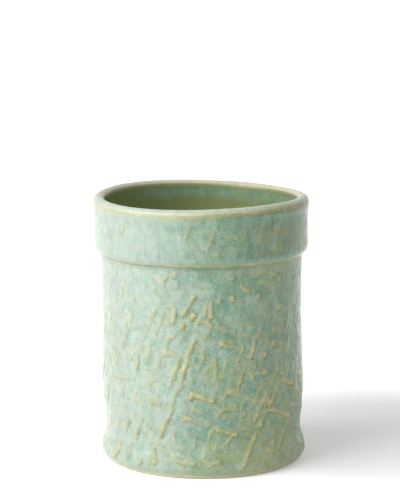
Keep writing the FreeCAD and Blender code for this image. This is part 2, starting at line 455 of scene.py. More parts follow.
class Turned:
    """Points of a section turned about Z, from the back round the front to the back again."""

    def __init__(self, section, segments, closed=True):
        self.rows = len(section)
        self.segments = segments
        self.closed = closed
        turn = np.arange(segments) / segments
        self.angle = np.tile((turn - 0.5) * 2 * math.pi, self.rows)
        self.radius = np.repeat(section[:, 0], segments)
        self.height = np.repeat(section[:, 1], segments)
        steps = np.linalg.norm(np.diff(section, axis=0, append=section[:1]), axis=1)
        if not closed:
            steps = steps[:-1]
        self.run = np.concatenate(([0], np.cumsum(steps)))
        slope = unit(np.roll(section, -1, axis=0) - np.roll(section, 1, axis=0))
        onward = unit(np.roll(section, -1, axis=0) - section)
        self.corners = np.flatnonzero(np.sum(onward * np.roll(onward, 1, axis=0), axis=1) < CORNER_COSINE)
        self.out = np.repeat(slope[:, 1], segments)
        self.up = np.repeat(-slope[:, 0], segments)
        self.marks = {}

    def around(self):
        """Distance round the wall from its front line."""
        return self.angle * WALL_RADIUS

    def places(self):
        """The points in the frame."""
        return np.stack(
            (self.radius * np.sin(self.angle), -self.radius * np.cos(self.angle), self.height), axis=1)

    def raise_by(self, rise):
        """Moves the points out of the surface."""
        self.radius = self.radius + self.out * rise
        self.height = self.height + self.up * rise

    def mesh(self, name, places):
        """The mesh, with the marks as attributes and the turned sheet as its flat map."""
        strips = self.rows if self.closed else self.rows - 1
        row = np.repeat(np.arange(strips), self.segments)
        segment = np.tile(np.arange(self.segments), strips)
        next_row = (row + 1) % self.rows
        next_segment = (segment + 1) % self.segments
        faces = np.stack((
            row * self.segments + segment,
            row * self.segments + next_segment,
            next_row * self.segments + next_segment,
            next_row * self.segments + segment), axis=1)
        mesh = bpy.data.meshes.new(name)
        mesh.from_pydata(places.tolist(), [], faces.tolist())
        mesh.polygons.foreach_set("use_smooth", np.ones(len(faces), dtype=bool))
        ends = np.array([edge.vertices[:] for edge in mesh.edges]) // self.segments
        at_corner = (ends[:, 0] == ends[:, 1]) & np.isin(ends[:, 0], self.corners)
        mesh.attributes.new("sharp_edge", "BOOLEAN", "EDGE").data.foreach_set("value", at_corner)
        along = self.run / self.run[-1]
        left, right = segment / self.segments, (segment + 1) / self.segments
        low, high = along[row], along[row + 1]
        flat = np.stack((left, low, right, low, right, high, left, high), axis=1)
        mesh.uv_layers.new(name="OFBake").data.foreach_set("uv", flat.ravel())
        for mark in MARKS:
            values = np.broadcast_to(self.marks.get(mark, 0.0), len(places))
            layer = mesh.attributes.new(mark, "FLOAT", "POINT")
            layer.data.foreach_set("value", np.clip(values, 0, 1).astype(np.float32))
        return mesh


def smooth_step(values, low, high):
    """0 at low, 1 at high and an even curve between."""
    share = np.clip((values - low) / (high - low), 0, 1)
    return share * share * (3 - 2 * share)


def hump(values, start, top_start, top_end, end):
    """0 outside start and end, 1 between the two tops."""
    return smooth_step(values, start, top_start) * (1 - smooth_step(values, top_end, end))


def sector(angle, degrees):
    """1 on a stretch round the cup and 0 away from it."""
    return hump(angle, *np.radians(degrees))


def belt(distance, millimetres):
    """1 on a belt and 0 away from it."""
    return hump(distance, *np.multiply(millimetres, MM))


def cloud(places, size, octaves=1, shift=0.0):
    """Smooth random values between about -1 and 1, in lumps of that size."""
    total = np.zeros(len(places))
    for octave in range(octaves):
        finer = 2 ** octave
        points = (places * (finer / size) + octave * OCTAVE_SHIFT + shift).tolist()
        total += np.array([noise.noise(point) for point in points]) / finer
    return total


def hand_built(places, clay):
    """Moves points of the true shape to where the hand-built clay has them."""
    x, y, z = places.T
    share = z / CUP_HEIGHT
    angle = np.arctan2(y, x)
    wave = -np.cos(2 * angle - math.pi / 2) * smooth_step(share, WAVE_START, 1.0)
    aside = x * (1 + clay.oval) + clay.lean * (share - LEAN_PIVOT)
    return np.stack((aside, y, z + clay.rim_wave * wave), axis=1)


def wall_profile():
    """The radius of the wall's outside, as a function of the height."""
    loop = seam_loop("wall_slab")
    ring_radius = loop[loop[:, 1] <= 0][:, 0].max()
    outside = loop[(loop[:, 0] > ring_radius) & (loop[:, 1] < BAND_LOW)]
    outside = outside[np.argsort(outside[:, 1])]
    return lambda height: float(np.interp(height, outside[:, 1], outside[:, 0]))


def wall_place(pixel, clay, stage, radius_at):
    """Where the camera sees a pixel on the clay: distance round from the front line, and height."""
    focal = stage.lens / SENSOR_MM * PICTURE_HEIGHT
    across = (pixel[0] + LIT_SIDE_PX - PICTURE_WIDTH / 2) / focal / (1 + clay.oval)
    rise = (PICTURE_HEIGHT / 2 - LIT_SIDE_PX - pixel[1]) / focal
    dip_sin, dip_cos = math.sin(stage.camera_dip), math.cos(stage.camera_dip)
    forward = dip_cos + rise * dip_sin
    upward = -dip_sin + rise * dip_cos
    height = CUP_HEIGHT / 2
    for _ in range(PLACING_ROUNDS):
        aside = clay.lean * (height / CUP_HEIGHT - LEAN_PIVOT)
        eye = (stage.camera_aside - aside) / (1 + clay.oval)
        # The ray meets the clay where a * reach ** 2 + 2 * half_b * reach + c is 0
        a = across ** 2 + forward ** 2
        half_b = eye * across - stage.camera_distance * forward
        c = eye ** 2 + stage.camera_distance ** 2 - radius_at(height) ** 2
        reach = (-half_b - math.sqrt(max(half_b ** 2 - a * c, 0))) / a
        height = stage.camera_height + reach * upward
    x = eye + reach * across
    y = -stage.camera_distance + reach * forward
    return math.atan2(x, -y) * WALL_RADIUS, height


def path_places(path, clay, stage, radius_at):
    """The places on the clay of a path's pixels."""
    return [wall_place(pixel, clay, stage, radius_at) for pixel in zip(path[::2], path[1::2])]


def make_thread(path, clay, share, tone, width=1.0):
    """A ridge along a path, lower and thinner the less its share is."""
    own_width = FAINTEST_WIDTH_SHARE + (1 - FAINTEST_WIDTH_SHARE) * share
    half_width = clay.thread_half_width * own_width * width
    return Thread(np.array(path), clay.thread_rise * share, half_width, tone)


def make_knot(place, clay, tone):
    """A bump of the cloth: a short stub along the steep threads."""
    half = 0.5 * clay.thread_half_width * np.array((math.cos(STEEP_TILT), math.sin(STEEP_TILT)))
    return make_thread([place - half, place + half], clay, KNOT_SHARE * tone, tone, KNOT_WIDTH_SHARE)


def front_threads(clay, stage):
    """Ridges on the front of the wall, where the picture has them."""
    chance = random.Random(clay.seed)
    radius_at = wall_profile()
    threads = []
    kinds = ((BOLD_THREADS_PX, 1), (PLAIN_THREADS_PX, PLAIN_SHARE), (FAINT_THREADS_PX, FAINT_SHARE))
    for paths, share in kinds:
        for path in paths:
            places = path_places(path, clay, stage, radius_at)
            own_share = share * chance.uniform(*SHARE_RANGE)
            threads.append(make_thread(places, clay, own_share, own_share))
    for pixel in KNOTS_PX:
        tone = chance.uniform(*FRONT_KNOT_TONES)
        place = wall_place(pixel, clay, stage, radius_at)
        threads.append(make_knot(place, clay, tone))
    return threads


def woven_threads(clay, chance, start, end, spacing, shares, tone_share=1.0):
    """Two sets of threads that cross on a stretch of the wall, each thread broken into short runs."""
    threads = []
    middle = np.array(((start + end) / 2, BAND_LOW / 2))
    diagonal = math.hypot((end - start) / 2, BAND_LOW / 2)
    for tilt, longest in ((STEEP_TILT, STEEP_RUN), (FLAT_TILT, FLAT_RUN)):
        along = np.array((math.cos(tilt), math.sin(tilt)))
        aside = np.array((-along[1], along[0]))
        offset = -diagonal
        while offset < diagonal:
            offset += spacing * chance.uniform(*SPACING_RANGE)
            run = -diagonal
            while run < diagonal:
                run += chance.uniform(*GAP_RANGE) * longest
                length = chance.uniform(*RUN_RANGE) * longest
                bend = chance.uniform(-1, 1) * clay.thread_half_width
                sway = chance.uniform(-1, 1) * clay.thread_half_width
                share = chance.choice(shares) * chance.uniform(*SHARE_RANGE)
                keep = chance.random()
                path = np.array([
                    middle + along * (run + length * part) + aside * (offset + sway + bow * bend)
                    for part, bow in ((0, 0), (0.5, 1), (1, 0))])
                run += length
                crowd = LOW_CROWD - CROWD_LOSS * smooth_step(path[1][1], *CROWD_HEIGHTS)
                lowest, highest = path[:, 1].min(), path[:, 1].max()
                on_wall = WALL_MARGIN < lowest and highest < BAND_LOW - WALL_MARGIN
                if keep < crowd and on_wall and start < path[1][0] < end:
                    threads.append(make_thread(path, clay, share, share * tone_share))
    return threads


def cloth_threads(clay, stage):
    """The ridges of the wall, and a faint weave all round it."""
    chance = random.Random(clay.seed + 1)
    sides = woven_threads(
        clay, chance, SIDE_START, SIDE_END, clay.thread_spacing,
        (SIDE_SHARE, SIDE_SHARE, SIDE_SHARE * PLAIN_SHARE, FAINT_SHARE, FAINT_SHARE))
    knots = []
    for _ in range(SIDE_KNOTS):
        place = (chance.uniform(SIDE_START, SIDE_END), chance.uniform(*KNOT_HEIGHTS))
        tone = chance.uniform(*SIDE_KNOT_TONES)
        knots.append(make_knot(place, clay, tone))
    weave = woven_threads(
        clay, chance, -WALL_GIRTH / 2, WALL_GIRTH / 2, clay.thread_spacing * WEAVE_SPACING_SHARE,
        (WEAVE_SHARE,), WEAVE_TONE)
    return front_threads(clay, stage) + sides + knots, weave


def offset_from_path(points, path):
    """The way to points from the nearest place on a line through the path's points."""
    nearest = points - path[0]
    for start, end in zip(path[:-1], path[1:]):
        along = end - start
        share = np.clip((points - start) @ along / (along @ along), 0, 1)
        offset = points - start - share[:, None] * along
        closer = np.linalg.norm(offset, axis=1) < np.linalg.norm(nearest, axis=1)
        nearest = np.where(closer[:, None], offset, nearest)
    return nearest


def press_threads(threads, around, height, vigour):
    """How far the threads raise the clay; then how near the strongest thread is (1 on it, 0 out of reach),
    its tone, and how far the point is on the thread's side away from the light."""
    rise, near, tone, shaded_side = np.zeros((4, len(around)))
    for thread in threads:
        middle = thread.path.mean(axis=0)
        reach = np.abs(thread.path - middle).max(axis=0) + THREAD_REACH * thread.half_width
        across = (around - middle[0] + WALL_GIRTH / 2) % WALL_GIRTH - WALL_GIRTH / 2
        close = np.flatnonzero((np.abs(across) < reach[0]) & (np.abs(height - middle[1]) < reach[1]))
        points = np.stack((across[close], height[close] - middle[1]), axis=1)
        offset = offset_from_path(points, thread.path - middle) / thread.half_width
        distance = np.linalg.norm(offset, axis=1)
        own_rise = thread.rise * np.exp(-(distance / RIDGE_SHOULDER) ** RIDGE_FALL) * vigour[close]
        rise[close] = np.maximum(rise[close], own_rise)
        own_near = np.clip(1 - distance / THREAD_REACH, 0, 1)
        own_tone = thread.tone * vigour[close]
        wins = own_near * own_tone > near[close] * tone[close]
        near[close[wins]] = own_near[wins]
        tone[close[wins]] = own_tone[wins]
        shaded_side[close[wins]] = (offset @ LEE)[wins]
    return rise, near, tone, smooth_step(shaded_side, *LEE_RANGE)


def patched(spots, around, height, clay, stage, radius_at):
    """How far points lie in soft patches of glaze, each given by a pixel and a radius in millimetres."""
    share = np.zeros(len(around))
    for x, y, radius in spots:
        place = wall_place((x, y), clay, stage, radius_at)
        distance = np.hypot(around - place[0], height - place[1]) / (radius * MM)
        share = np.maximum(share, np.exp(-distance ** 2))
    return share


def plug(tree, socket, value):
    """Links an output to a socket, or sets the socket to a value."""
    if isinstance(value, bpy.types.NodeSocket):
        tree.links.new(value, socket)
    else:
        socket.default_value = value


def add_node(tree, kind, inputs, **settings):
    """Adds a node, sets it and plugs its inputs; gives its outputs."""
    node = tree.nodes.new("ShaderNode" + kind)
    for name, value in settings.items():
        setattr(node, name, value)
    for name, value in inputs.items():
        plug(tree, node.inputs[name], value)
    return node.outputs


class Glaze:
    """Builds the nodes of a glaze, a value or colour at a time."""

    def __init__(self, name):
        self.material = bpy.data.materials.new(name)
        self.material.use_nodes = True
        self.tree = self.material.node_tree
        self.place = add_node(self.tree, "TexCoord", {})["Object"]
        self.colour = None

    def mark(self, name):
        return add_node(self.tree, "Attribute", {}, attribute_name=name)["Fac"]

    def grain(self, size, detail, stretch=1.0, shift=0.0):
        """Noise in lumps of that size, as much taller as stretch says."""
        inputs = {"Vector": self.place, "Scale": (1, 1, 1 / stretch), "Location": (shift, shift, shift)}
        moved = add_node(self.tree, "Mapping", inputs)["Vector"]
        inputs = {"Vector": moved, "Scale": 1 / size, "Detail": detail}
        return add_node(self.tree, "TexNoise", inputs)["Fac"]

    def graded(self, value, low, high, start=0.0, end=1.0):
        """Start where the value is low, end where it is high, and an even curve between."""
        inputs = {"Value": value, "From Min": low, "From Max": high, "To Min": start, "To Max": end}
        return add_node(self.tree, "MapRange", inputs, interpolation_type="SMOOTHSTEP")["Result"]

    def result(self, operation, first, second):
        return add_node(self.tree, "Math", {0: first, 1: second}, operation=operation)["Value"]

    times = partialmethod(result, "MULTIPLY")
    plus = partialmethod(result, "ADD")
    most = partialmethod(result, "MAXIMUM")

    def mix(self, share, first, second):
        inputs = {MIX_SHARE: share, MIX_FIRST: first, MIX_SECOND: second}
        return add_node(self.tree, "Mix", inputs, data_type="RGBA")[MIX_RESULT]

    def coat(self, paint, *shares):
        """Lays a colour over what is there, by the product of the shares."""
        self.colour = self.mix(reduce(self.times, shares), self.colour, paint)

    def bump(self, height, depth, strength):
        inputs = {"Height": height, "Distance": depth, "Strength": strength}
        return add_node(self.tree, "Bump", inputs)["Normal"]

    def set_shader(self, inputs):
        """Plugs inputs of the shader itself."""
        shader = self.tree.nodes["Principled BSDF"]
        for name, value in inputs.items():
            plug(self.tree, shader.inputs[name], value)


def linear(colour):
    """A colour as it looks, in the values that nodes take."""
    return (*Color(colour).from_srgb_to_scene_linear(), 1)


def cup_glaze(settings):
    """The glaze of the whole cup, coat by coat with painted sheen and shade among them, and the clay it
    leaves bare.
    """
    made = bpy.data.materials.get("cup_glaze")
    if made:
        return made
    glaze = Glaze("cup_glaze")
    mark, graded, coat = glaze.mark, glaze.graded, glaze.coat
    mint, pale, painted_sheen, deep, teal, tan, olive, inside, cream, shade, bloom_and_shade, clay = (
        linear(getattr(settings, name)) for name in GLAZE_COLOURS)
    dapple = glaze.grain(2.2 * MM, 3, stretch=1.3, shift=0.31)
    speck = glaze.grain(0.6 * MM, 1.5, shift=0.53)
    patch = glaze.grain(5 * MM, 3, shift=0.77)
    flush = glaze.grain(2.8 * MM, 2, shift=0.13)
    bloomed = glaze.grain(2.6 * MM, 2, shift=0.91)
    depth = glaze.grain(4.2 * MM, 1.5, stretch=1.4, shift=0.41)
    torn = glaze.grain(1.1 * MM, 3, shift=0.67)
    # The mottled ground
    glaze.colour = mint
    coat(teal, graded(patch, 0.5, 0.3, 0, 0.6))
    coat(olive, graded(patch, 0.5, 0.72, 0, 0.6))
    coat(tan, graded(flush, 0.53, 0.7, 0, 0.3))
    # Grey bloom in spots, and painted shade greying the left limb
    coat(bloom_and_shade, glaze.most(graded(bloomed, 0.52, 0.66, 0, 0.5), mark("bloom_and_shade")))
    coat(teal, graded(mark("painted_sheen"), 0, 1, 1, 0.6), graded(dapple, 0.48, 0.66, 0, 0.6))
    coat(mint, mark("calm"), 0.5)
    # What belongs to a place on the cup, painted light and shade among it
    coat(pale, mark("pale"), graded(dapple, 0.6, 0.35, 0.4, 0.9))
    coat(inside, mark("inside"), 0.9)
    coat(teal, mark("pool"), graded(dapple, 0.3, 0.6, 0.3, 0.8))
    coat(olive, mark("olive"), graded(dapple, 0.62, 0.34, 0.4, 1))
    # Painted shade: in the crease under the band, under the lip, on the band's right side and on both limbs
    coat(shade, mark("crease_and_shade"), 0.6)
    # Clouds and specks, weaker inside the cup, where the glaze is calm and under the painted sheen
    inside_flecks = graded(mark("inside"), 0, 1, 1, 0.15)
    flecked = glaze.times(inside_flecks, graded(mark("calm"), 0, 1, 1, 0.5))
    cloudy = glaze.times(flecked, graded(mark("painted_sheen"), 0, 1, 1, 0.3))
    coat(pale, cloudy, graded(depth, 0.53, 0.7, 0, 0.3))
    coat(deep, cloudy, graded(depth, 0.47, 0.3, 0, 0.4))
    coat(pale, flecked, graded(speck, 0.53, 0.62, 0, 0.29))
    coat(deep, flecked, graded(speck, 0.45, 0.36, 0, 0.38))
    # Painted sheen: a pale veil of reflected light on the lit left side and on the lip's crown
    coat(painted_sheen, mark("painted_sheen"), graded(dapple, 0.3, 0.65, 0.36, 0.24))
    # Threads with torn edges: olive beside them, painted shadow on their side away from the light, thin
    # glaze on their crests, and a painted highlight of cream on their lit side
    tone, shaded_side = mark("tone"), mark("shaded_side")
    near = glaze.plus(mark("thread"), graded(torn, 0.25, 0.75, -0.2, 0.2))
    coat(olive, graded(near, 0.25, 0.75, 0, 0.38), tone)
    ridge_shadow = glaze.times(graded(near, 0.74, 0.6), graded(near, 0.4, 0.58))
    coat(shade, ridge_shadow, tone, graded(shaded_side, 0.3, 0.8, 0.05, 0.7))
    thin_glaze_and_highlight = glaze.mix(graded(flush, 0.4, 0.64, 0.6, 0), tan, olive)
    thin_glaze_and_highlight = glaze.mix(graded(shaded_side, 0.35, 0.05, 0, 0.2), thin_glaze_and_highlight, cream)
    thin_glaze_and_highlight = glaze.mix(graded(bloomed, 0.5, 0.68, 0, 0.45), thin_glaze_and_highlight, clay)
    ridge = glaze.most(glaze.times(graded(near, 0.57, 0.8), tone), mark("ridge"))
    coat(thin_glaze_and_highlight, ridge, graded(dapple, 0.3, 0.58, 0.45, 1))
    coat(cream, mark("cream"), graded(dapple, 0.7, 0.4, 0.85, 1))
    bare = mark("bare")
    coat(glaze.mix(graded(speck, 0.5, 0.75, 0, 0.4), clay, olive), bare)
    satin = graded(dapple, 0.3, 0.7, settings.satin - 0.05, settings.satin + 0.06)
    grain = glaze.plus(glaze.times(speck, 0.15), glaze.times(dapple, 0.15))
    crest = reduce(glaze.times, (graded(near, 0.4, 0.9), tone, 0.5))
    glaze.set_shader({
        "Base Color": glaze.colour,
        "Roughness": glaze.most(satin, glaze.times(bare, BARE_ROUGHNESS)),
        "IOR": GLAZE_IOR,
        "Normal": glaze.bump(glaze.plus(grain, crest), BUMP_DEPTH, BUMP_STRENGTH),
    })
    return glaze.material


def add_object(name, data, context):
    """Adds an object to the scene."""
    added = bpy.data.objects.new(name, data)
    context.scene.collection.objects.link(added)
    return added


def set_piece(name, turned, node, context):
    """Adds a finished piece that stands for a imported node."""
    mesh = turned.mesh(name, hand_built(turned.places(), context.scene.cup_clay))
    if not turned.closed:
        close_poles(mesh)
    mesh.materials.append(cup_glaze(context.scene.cup_glaze))
    piece = add_object(name, mesh, context)
    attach(piece, BODY)
    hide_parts(node)
    return {"FINISHED"}


def close_poles(mesh):
    """Joins the points that meet on the axis."""
    work = bmesh.new()
    work.from_mesh(mesh)
    bmesh.ops.remove_doubles(work, verts=work.verts, dist=0.001 * MM)
    work.to_mesh(mesh)
    work.free()


def painted_sheen_side(angle, places):
    """Where the sheen is painted: the lit left side, with a cloudy border at the front and at the back."""
    return sector(angle + 0.12 * cloud(places, 6 * MM, 2, shift=6.6), PAINTED_SHEEN_SIDE)


def inner_marks(drop, ragged, angle):
    """The glaze inside the cup, by the distance below the lip: the inside's own, with a ring of teal."""
    left = sector(angle, INNER_LEFT)
    ring = belt(drop + ragged, INNER_RING) * (1 - 0.8 * left)
    return {
        "pool": 0.36 * ring,
        "inside": smooth_step(drop + 0.3 * ragged, 0.5 * MM, 1.3 * MM) * (1 - 0.42 * ring),
        "olive": 0.5 * left * belt(drop, INNER_OLIVE),
    }


class CUP_OT_textured_wall(bpy.types.Operator):
    """Make the wall, with the pressed threads, the waist and the foot"""

    bl_idname = "cup.textured_wall"
    bl_label = "Textured wall"

    def execute(self, context):
        clay, stage = context.scene.cup_clay, context.scene.cup_stage
        loop = anticlockwise(seam_loop("wall_slab"))
        ring_radius = loop[loop[:, 1] <= 0][:, 0].max()
        tucked = BAND_LOW + 3 * MM

        def outside(radius, height):
            return radius > ring_radius + TOUCH and height < tucked

        def step_at(radius, height):
            if outside(radius, height):
                return WALL_STEP
            return BORE_TOP_STEP if height > 0.7 * CUP_HEIGHT else BORE_STEP

        wall = Turned(softened(respaced(loop, step_at), outside, passes=5), FINE_SEGMENTS)
        shown = (wall.radius > ring_radius) & (wall.height < tucked)
        places = wall.places()
        fray = THREAD_FRAY * cloud(places, 3 * MM, 2)
        fray_up = THREAD_FRAY * cloud(places, 3 * MM, 2, shift=5.5)
        vigour = np.clip(0.84 + 0.75 * cloud(places, 4.5 * MM, 2, shift=9.1), 0.45, 1.15)
        threads, weave = cloth_threads(clay, stage)
        around, height = wall.around() + fray, wall.height + fray_up
        rise, near, tone, shaded_side = press_threads(threads, around, height, vigour)
        weave_rise, weave_near, weave_tone, _ = press_threads(weave, around, height, vigour)
        lump = clay.lump * cloud(places, 11 * MM, 2) + 0.12 * MM * cloud(places, 3.5 * MM, shift=2.2)
        fade = shown * hump(wall.height, *RIDGE_HEIGHTS)
        # The crease under the band: the clay dips there, and its glaze gets painted shade
        crease_and_shade = shown * belt(wall.height - BAND_LOW, EDGE_CREASE)
        shallow = 1 - 0.65 * smooth_step(np.abs(wall.angle), *SHALLOW_SIDES)
        wall.raise_by((np.maximum(rise, weave_rise) * shallow + lump) * fade - 0.15 * MM * crease_and_shade)

        # How the glaze lies on it, with painted light, shade and sheen
        low = ~shown & (wall.height < 2 * MM)
        bore = ~shown & ~low
        ragged = 1.5 * MM * cloud(places, 7 * MM, 2, shift=4.4)
        inner = inner_marks(CUP_HEIGHT - wall.height, ragged, wall.angle)
        foot = 1 - smooth_step(wall.height + ragged, 1.5 * MM, 4.5 * MM)
        foot_edge = 1 - smooth_step(wall.height + 0.3 * ragged, 1.0 * MM, 2.4 * MM)
        spread = (wall.around() + 4 * fray, wall.height + 4 * fray_up, clay, stage, wall_profile())
        olive = 0.88 * patched(OLIVE_PATCHES_PX, *spread)
        teal = 0.8 * patched(TEAL_PATCHES_PX, *spread)
        pale = 0.7 * patched(PALE_PATCHES_PX, *spread)
        right = shown * sector(wall.angle, WALL_RIGHT)
        # Painted shade on both limbs of the wall, the right one most on its upper part
        shaded_right_limb = shown * sector(wall.angle, SHADED_RIGHT_LIMB)
        shaded_left_limb = shown * sector(wall.angle, SHADED_LEFT_LIMB)
        # Painted light low on the right and just under the band
        lit_low_right = right * (1 - smooth_step(wall.height, 4 * MM, 22 * MM))
        shaded_upper_right_limb = shaded_right_limb * smooth_step(wall.height, 28 * MM, 42 * MM)
        lit_under_band = right * belt(wall.height - BAND_LOW, LIT_UNDER_BAND)
        # Painted sheen of reflected light on the lit left side
        painted_sheen = shown * painted_sheen_side(wall.angle, places)
        weave_ridge = weave_tone * smooth_step(weave_near, 0.5, 0.8) * fade
        weave_ridge *= 1 + 0.5 * right - 0.2 * painted_sheen - shaded_right_limb
        foot_olive = (0.6 + 0.3 * right) * foot
        # Olive and teal on the right limb are painted shade
        side_olive = 0.3 * right * (1 - pale) + 0.2 * shaded_right_limb
        outer_olive = shown * np.maximum.reduce((foot_olive, olive, side_olive))
        outer_pool = np.maximum(shown * teal, 0.2 * shaded_right_limb + 0.18 * right)
        wall.marks = {
            "thread": near * shown * hump(wall.height, *MARK_HEIGHTS),
            "tone": tone * (1 + 0.35 * right - 0.3 * painted_sheen - 0.45 * shaded_right_limb),
            "shaded_side": shaded_side,
            # Tan laid as painted light under the band and low on the right
            "ridge": np.maximum(weave_ridge, 0.3 * lit_under_band + 0.36 * lit_low_right),
            "pool": np.where(bore, inner["pool"], outer_pool),
            "olive": np.where(bore, inner["olive"], outer_olive),
            # Pale patches, and pale laid as painted light under the band and low on the right
            "pale": np.maximum(shown * pale, 0.6 * lit_under_band + 0.5 * lit_low_right),
            # Painted shade in the crease under the band, less on the right, and on both limbs
            "crease_and_shade": np.maximum(crease_and_shade * (0.5 - 0.5 * right), 0.3 * shaded_left_limb + 0.45 * shaded_upper_right_limb),
            # Painted shade greying the left limb
            "bloom_and_shade": 0.3 * shaded_left_limb,
            # Cream at the foot: thin glaze at its edge, and partly painted light on the curve that faces the
            # floor
            "cream": shown * np.maximum(0.95 * foot_edge, 0.2 * foot),
            "painted_sheen": painted_sheen,
            "inside": bore * inner["inside"],
            "bare": low,
        }
        return set_piece("textured_wall", wall, "wall_slab", context)


class CUP_OT_collar_band(bpy.types.Operator):
    """Make the smooth band and the rolled lip"""

    bl_idname = "cup.collar_band"
    bl_label = "Band and lip"

    def execute(self, context):
        clay, stage = context.scene.cup_clay, context.scene.cup_stage
        loop = anticlockwise(seam_loop("collar_band"))
        seat_radius = loop[loop[:, 1] <= BAND_LOW + TOUCH][:, 0].min()
        tongue_height = loop[loop[:, 0] < seat_radius - MM][:, 1].min()

        def radius_at(height):
            return BAND_FACE_RADIUS

        def shown(radius, height):
            return radius > seat_radius + TOUCH or height > tongue_height + TOUCH

        def step_at(radius, height):
            return BAND_STEP if shown(radius, height) else SEAT_STEP

        band = Turned(softened(respaced(loop, step_at), shown, passes=4), FINE_SEGMENTS)
        places = band.places()
        outer = band.radius > seat_radius + 0.05 * MM
        low_edge = 1 - smooth_step(band.height, BAND_LOW, BAND_LOW + 9 * MM)
        above_edge = band.height - BAND_LOW
        drop = CUP_HEIGHT - band.height
        streaks = []
        for path in BAND_STREAKS_PX:
            points = path_places(path, clay, stage, radius_at)
            streaks.append(make_thread(points, clay, STREAK_SHARE, STREAK_TONE, STREAK_WIDTH_SHARE))
        fray = 0.5 * MM * cloud(places, 3 * MM, 2)
        vigour = 0.8 + 0.4 * cloud(places, 4 * MM, shift=9.1)
        rise, near, tone, shaded_side = press_threads(streaks, band.around() + fray, band.height + fray, vigour)
        face = outer * smooth_step(drop, 4 * MM, 7 * MM) * smooth_step(above_edge, 2 * MM, 4 * MM)
        lump = 0.12 * MM * cloud(places, 14 * MM, 2)
        band.raise_by(rise * face + lump * outer)
        wobble = 0.2 * MM * cloud(places, 12 * MM, shift=3.3)
        lift = clay.edge_lift - clay.edge_tilt * np.sin(band.angle) + wobble
        band.height = band.height + low_edge * lift

        # How the glaze lies on it, with painted highlight, shade and sheen
        ragged = 1.3 * MM * cloud(places, 5 * MM, 2, shift=4.4)
        inner_side = band.radius < seat_radius - 0.3 * MM
        inner = inner_marks(drop, 0.3 * ragged, band.angle)
        right = sector(band.angle, BAND_RIGHT)
        shaded_right_limb = sector(band.angle, SHADED_RIGHT_LIMB)
        front = sector(band.angle, BAND_FRONT)
        left = sector(band.angle, BAND_LEFT)
        painted_sheen = painted_sheen_side(band.angle, places)
        # The lip: its crown with a painted highlight at the front, down to the olive and painted shade under
        # it
        lip_drop = drop + MM * (0.3 * front + 0.4 * right + 0.2 * left) + 0.3 * ragged
        lip_tan = (0.55 - 0.1 * left) * belt(lip_drop, LIP_TAN)
        lip_olive = (0.8 + 0.2 * right - 0.45 * left) * belt(lip_drop, LIP_OLIVE)
        # Painted highlight: the crown of the lip is pale and sheened at the front, less to the right
        crown_highlight = (1 - 0.3 * right) * (1 - smooth_step(drop, 0.4 * MM, 1.0 * MM))
        crown_highlight *= smooth_step(np.cos(band.angle), -0.3, 0.5)
        outer_cream = 0.85 - 0.75 * crown_highlight - 0.3 * left * (1 - crown_highlight)
        outer_cream *= 1 - smooth_step(lip_drop, 1.5 * MM, 2.2 * MM)
        inner_cream = (0.9 - 0.6 * crown_highlight) * (1 - smooth_step(drop, 0.7 * MM, 1.5 * MM))
        # The face, with patches and upright drips, down to its lower edge
        drip = cloud(places * (1, 1, 0.3), 3.5 * MM, 2, shift=8.8) * face * (1 - 0.8 * painted_sheen)
        spread = (band.around() + 2 * fray, band.height + 2 * fray, clay, stage, radius_at)
        teal = 0.95 * face * patched(BAND_TEAL_PATCHES_PX, *spread)
        pale = 0.75 * face * patched(BAND_PALE_PATCHES_PX, *spread)
        side_teal = (0.4 + 0.25 * right) * face * sector(band.angle, BAND_TEAL)
        under_lip = outer * belt(drop + 0.7 * ragged, UNDER_LIP) * (0.35 + 0.6 * cloud(places, 9 * MM))
        outer_pool = np.maximum(side_teal, teal) + 1.3 * np.maximum(drip, 0) + under_lip
        face_olive = face * (0.15 * front + 0.32 * right - 1.15 * np.minimum(drip, 0))
        # Painted shade, heavier to the right, away from the light: under the lip, across the face and in the
        # drips
        lip_shade = (0.45 * front + 0.6 * right) * lip_olive
        face_shade = face * (0.12 * front + 0.15 * right + 0.2 * shaded_right_limb) + 0.25 * front * teal
        drip_shade = 0.55 * right * smooth_step(drip, 0.1, 0.5)
        edge_line = outer * belt(above_edge + 0.3 * ragged, EDGE_LINE)
        band.marks = {
            "thread": near * face,
            "tone": tone,
            "shaded_side": shaded_side,
            "ridge": np.maximum((0.6 + 0.1 * right) * edge_line, lip_tan * ~inner_side),
            "pool": np.where(inner_side, inner["pool"], outer_pool),
            "olive": np.where(inner_side, inner["olive"], np.maximum(lip_olive, face_olive)),
            # Pale patches on the face, and the painted highlight on the crown
            "pale": np.maximum(pale, 0.9 * crown_highlight),
            # Painted shade under the lip, on the band's right side and on its left
            "crease_and_shade": ~inner_side * (lip_shade + face_shade + drip_shade + 0.16 * left * outer),
            # Painted shade greying the band's left side
            "bloom_and_shade": 0.3 * outer * left,
            # The band's glaze is calm, and its specks are weaker still under the painted sheen
            "calm": outer * (0.1 + 0.8 * painted_sheen),
            "cream": np.where(inner_side, inner_cream, outer_cream),
            "painted_sheen": np.maximum(outer * painted_sheen, crown_highlight),
            "inside": inner_side * inner["inside"],
        }
        return set_piece("collar_band_and_lip", band, "collar_band", context)


